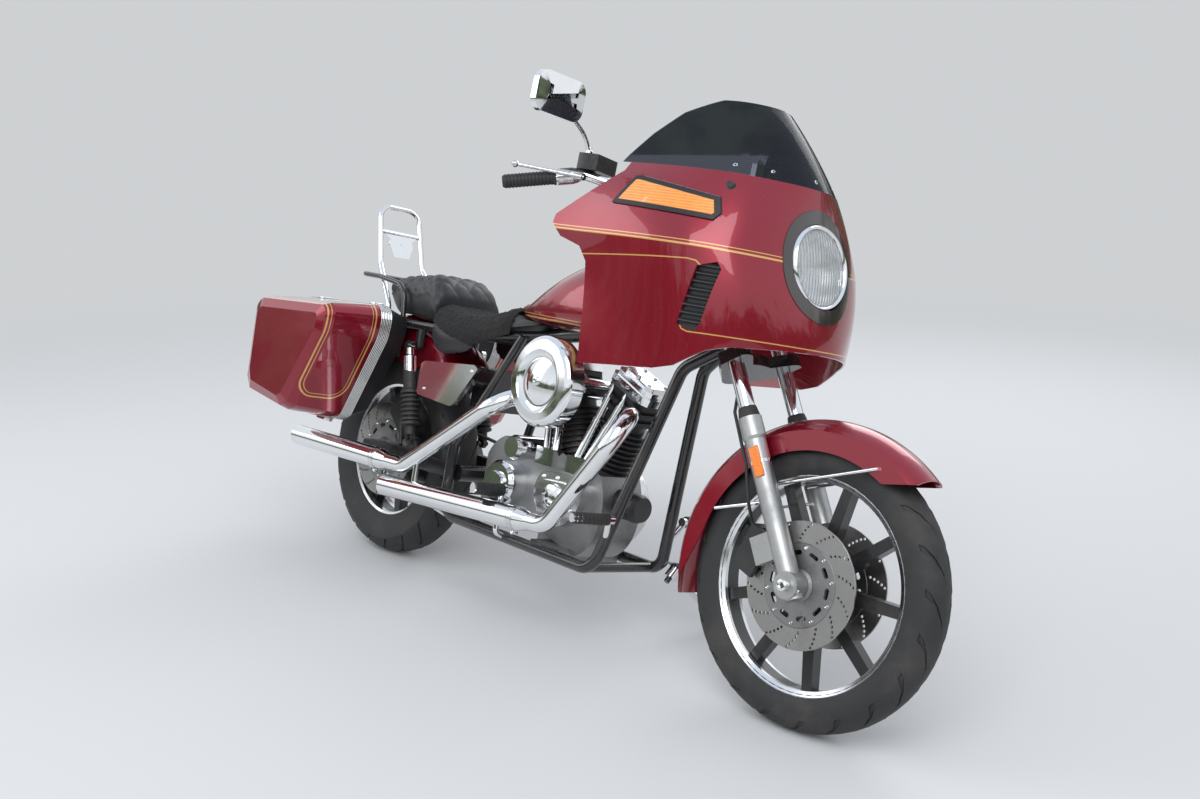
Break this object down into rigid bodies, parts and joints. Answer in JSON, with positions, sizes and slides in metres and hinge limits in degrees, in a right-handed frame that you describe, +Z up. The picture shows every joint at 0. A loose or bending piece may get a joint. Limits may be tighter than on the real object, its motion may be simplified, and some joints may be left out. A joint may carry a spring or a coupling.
{
  "type": "touring cruiser motorcycle",
  "caption": "Touring cruiser motorcycle with a V-twin engine, frame-mounted fairing and hard saddlebags, leaning on its side stand.",
  "frame": {"origin": "bottom centre of the whole machine's bounding box, on the road", "axes": "+X is the direction of travel, +Y the rider's left, +Z up; the machine leans 13.5 degrees to its left on its side stand"},
  "size_m": [2.4006, 1.1154, 1.4675],
  "materials": {
    "tyre": "grooved tread",
    "black_rim": "black paint with polished lip",
    "steel_disc": "ground",
    "chrome": "polished",
    "alloy": "satin cast",
    "polished_alloy": "polished",
    "black_paint": "gloss black",
    "red_paint": "deep red metallic with gold pinstripes",
    "rubber": "matte",
    "black_plastic": "grained",
    "leather": "black, quilted",
    "fleece": "black curly fleece",
    "smoked_glass": "smoked acrylic",
    "lamp_glass": "fluted clear",
    "red_lens": "ribbed",
    "amber_lens": "ribbed amber",
    "belt": "toothed"
  },
  "bodies": {
    "front_wheel": {"front_tyre": "tyre", "front_rim": "black_rim", "front_discs": "steel_disc"},
    "rear_wheel": {"rear_tyre": "tyre", "rear_rim": "black_rim", "rear_disc": "steel_disc"},
    "frame": {"rear_axle": "chrome", "frame": "black_paint", "engine_cases": "alloy", "pushrod_tubes": "chrome", "cylinders": "black_paint", "rocker_covers": "chrome", "cam_cover": "polished_alloy", "transmission_cover": "chrome", "primary_cover": "polished_alloy", "air_cleaner": "chrome", "oil_filter": "black_paint", "exhaust_pipes": "chrome", "swingarm": "black_paint", "rear_caliper": "black_paint", "shock_absorbers": "black_paint", "drive_belt": "belt", "front_pulley": "alloy", "fuel_tank": "red_paint", "fuel_cap": "chrome", "rider_seat": "leather", "pillion_pad": "leather", "fleece_pad": "fleece", "rear_fender": "red_paint", "tail_lamp": "red_lens", "sissy_bar": "chrome", "grab_rail": "black_paint", "side_covers": "chrome", "oil_tank": "black_paint", "bag_shells": "black_plastic", "bag_bands": "polished_alloy", "fairing": "red_paint", "fairing_frame": "black_paint", "windshield": "smoked_glass", "headlamp": "lamp_glass", "lamp_surround": "black_plastic", "turn_lamps": "amber_lens", "foot_controls": "chrome"},
    "steering": {"fork_tubes": "chrome", "fork_sliders": "alloy", "dust_boots": "rubber", "front_axle": "chrome", "triple_clamps": "black_paint", "front_fender": "red_paint", "fender_stays": "chrome", "front_calipers": "black_paint", "brake_hose": "rubber", "handlebar": "chrome", "grips": "rubber", "hand_controls": "polished_alloy", "mirrors": "chrome"},
    "side_stand": {"side_stand": "chrome"},
    "bag_lid_right": {"bag_lid_right": "red_paint"},
    "bag_lid_left": {"bag_lid_left": "red_paint"}
  },
  "joints": [
    {"name": "steering", "type": "hinge", "parent": "frame", "child": "steering", "pos_m": [0.65427, -0.11751, 0.54237], "axis": [-0.5142, 0.2002, 0.834], "range_deg": [-18.5, 11.5]},
    {"name": "front_wheel_spin", "type": "hinge", "parent": "steering", "child": "front_wheel", "pos_m": [0.86972, -0.16631, 0.32121], "axis": [-0.0524, 0.9632, -0.2635], "continuous": true},
    {"name": "rear_wheel_spin", "type": "hinge", "parent": "frame", "child": "rear_wheel", "pos_m": [-0.77318, -0.17255, 0.3131], "axis": [0, 0.9724, -0.2334], "continuous": true},
    {"name": "side_stand_fold", "type": "hinge", "parent": "frame", "child": "side_stand", "pos_m": [0.30171, -0.05379, 0.16525], "axis": [0.019, 0.7744, 0.6324], "range_deg": [0, 95]},
    {"name": "bag_lid_right_hinge", "type": "hinge", "parent": "frame", "child": "bag_lid_right", "pos_m": [-0.89312, -0.3907, 0.43038], "axis": [1, -0.0002, -0.0009], "range_deg": [0, 50]},
    {"name": "bag_lid_left_hinge", "type": "hinge", "parent": "frame", "child": "bag_lid_left", "pos_m": [-0.89312, 0.07506, 0.31856], "axis": [-1, 0.0002, 0.0009], "range_deg": [0, 50]}
  ]
}
